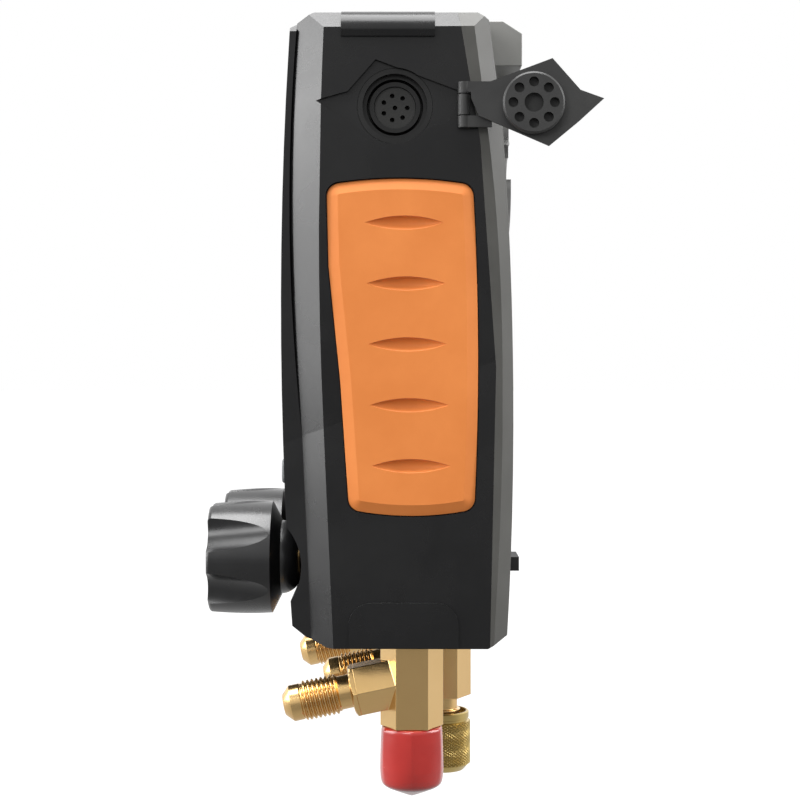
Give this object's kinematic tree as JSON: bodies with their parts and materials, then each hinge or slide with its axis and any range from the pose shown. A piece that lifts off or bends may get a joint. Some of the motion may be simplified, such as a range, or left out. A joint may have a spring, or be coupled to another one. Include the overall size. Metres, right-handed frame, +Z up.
{
  "type": "refrigerant manifold gauge",
  "caption": "Digital refrigerant manifold with side grips, display, lobed valve knobs, brass flare ports with caps, probe sockets with rubber covers and a folding rear hook.",
  "frame": {"origin": "middle of the hanging hook's hinge pin at the rear of the top, where the instrument hangs", "axes": "+Z up, -Y towards the reader (display), +X towards the high-pressure side"},
  "size_m": [0.1208, 0.1104, 0.2206],
  "materials": {
    "casing_dark": "fine-textured ABS",
    "rear_grey": "fine-textured ABS",
    "grip_orange": "soft-touch elastomer",
    "cover_rubber": "moulded rubber",
    "knob_black": "satin phenolic",
    "brass": "machined",
    "steel": "plated",
    "block_metal": "machined",
    "vinyl_red": "glossy dipped vinyl",
    "vinyl_blue": "glossy dipped vinyl",
    "lens_clear": "hard-coated",
    "lcd": "display glass",
    "board_green": "solder mask",
    "inner_black": "moulded",
    "key_grey": "silicone",
    "socket_grey": "moulded"
  },
  "bodies": {
    "casing": {"main_shell": "casing_dark", "front_frame": "casing_dark", "rear_shell": "rear_grey", "grip_pad_right": "grip_orange", "grip_pad_left": "grip_orange", "display_lens": "lens_clear", "lcd_module": "lcd", "main_board": "board_green", "key_mat": "inner_black", "valve_block": "block_metal", "bonnet_low": "brass", "bonnet_high": "brass", "stem_seals": "inner_black", "sight_glass": "lens_clear", "sight_glass_ring": "brass", "tee_low": "brass", "tee_high": "brass", "tee_centre": "brass", "sensor_low": "steel", "sensor_high": "steel", "probe_socket_right": "socket_grey", "probe_socket_left": "socket_grey", "socket_insert_right": "socket_grey", "socket_insert_left": "socket_grey", "cover_strap_right": "cover_rubber", "cover_strap_left": "cover_rubber", "battery_tray": "inner_black", "batteries": "inner_black", "battery_contacts": "steel", "hook_bracket": "rear_grey", "hook_pin": "steel", "rear_feet": "rear_grey", "housing_screws": "steel"},
    "battery_door": {"battery_door": "rear_grey"},
    "hook": {"hanging_hook": "steel"},
    "plunger_low": {"plunger_low": "brass"},
    "plunger_high": {"plunger_high": "brass"},
    "knob_low": {"knob_low": "knob_black", "stem_low": "steel"},
    "knob_high": {"knob_high": "knob_black", "stem_high": "steel"},
    "cap_low": {"cap_low": "vinyl_blue"},
    "cap_high": {"cap_high": "vinyl_red"},
    "cap_seal": {"cap_seal": "inner_black"},
    "cap_centre": {"cap_centre": "brass"},
    "cover_right": {"socket_cover_right": "cover_rubber"},
    "cover_left": {"socket_cover_left": "cover_rubber"},
    "key_1": {"key_1": "key_grey"},
    "key_2": {"key_2": "key_grey"},
    "key_3": {"key_3": "key_grey"},
    "key_4": {"key_4": "key_grey"}
  },
  "joints": [
    {"name": "hook_fold", "type": "hinge", "parent": "casing", "child": "hook", "pos_m": [0, 0, 0], "axis": [1, 0, 0], "range_deg": [0, 180]},
    {"name": "battery_door_open", "type": "hinge", "parent": "casing", "child": "battery_door", "pos_m": [0, -0.00126, -0.14005], "axis": [-1, 0, 0], "range_deg": [0, 95]},
    {"name": "valve_low_lift", "type": "slide", "parent": "casing", "child": "plunger_low", "axis": [0, -1, 0], "range_m": [0, 0.003]},
    {"name": "valve_low_turn", "type": "hinge", "parent": "plunger_low", "child": "knob_low", "pos_m": [-0.024, -0.0312, -0.1472], "axis": [0, -1, 0], "range_deg": [0, 1080]},
    {"name": "cap_low_pull", "type": "slide", "parent": "casing", "child": "cap_low", "axis": [0, 0, -1], "range_m": [0, 0.02]},
    {"name": "valve_high_lift", "type": "slide", "parent": "casing", "child": "plunger_high", "axis": [0, -1, 0], "range_m": [0, 0.003]},
    {"name": "valve_high_turn", "type": "hinge", "parent": "plunger_high", "child": "knob_high", "pos_m": [0.024, -0.0312, -0.1472], "axis": [0, -1, 0], "range_deg": [0, 1080]},
    {"name": "cap_high_pull", "type": "slide", "parent": "casing", "child": "cap_high", "axis": [0, 0, -1], "range_m": [0, 0.02]},
    {"name": "cap_centre_lift", "type": "slide", "parent": "casing", "child": "cap_seal", "axis": [0, 0, -1], "range_m": [0, 0.01143]},
    {"name": "cap_centre_turn", "type": "hinge", "parent": "cap_seal", "child": "cap_centre", "pos_m": [0, -0.0184, -0.1688], "axis": [0, 0, -1], "range_deg": [0, 3240]},
    {"name": "cover_right_swing", "type": "hinge", "parent": "casing", "child": "cover_right", "pos_m": [0.057, -0.0138, -0.0201], "axis": [0, 0, -1], "range_deg": [0, 180]},
    {"name": "cover_left_swing", "type": "hinge", "parent": "casing", "child": "cover_left", "pos_m": [-0.057, -0.0138, -0.0201], "axis": [0, 0, -1], "range_deg": [0, 180]},
    {"name": "key_1_press", "type": "slide", "parent": "casing", "child": "key_1", "axis": [0, 1, 0], "range_m": [0, 0.0008], "stiffness_N_per_m": 1500},
    {"name": "key_2_press", "type": "slide", "parent": "casing", "child": "key_2", "axis": [0, 1, 0], "range_m": [0, 0.0008], "stiffness_N_per_m": 1500},
    {"name": "key_3_press", "type": "slide", "parent": "casing", "child": "key_3", "axis": [0, 1, 0], "range_m": [0, 0.0008], "stiffness_N_per_m": 1500},
    {"name": "key_4_press", "type": "slide", "parent": "casing", "child": "key_4", "axis": [0, 1, 0], "range_m": [0, 0.0008], "stiffness_N_per_m": 1500}
  ],
  "couplings": [
    {"joint": "valve_low_lift", "follows": "valve_low_turn", "m_per_rad": 0.00015915},
    {"joint": "valve_high_lift", "follows": "valve_high_turn", "m_per_rad": 0.00015915},
    {"joint": "cap_centre_lift", "follows": "cap_centre_turn", "m_per_rad": 0.00020213}
  ]
}
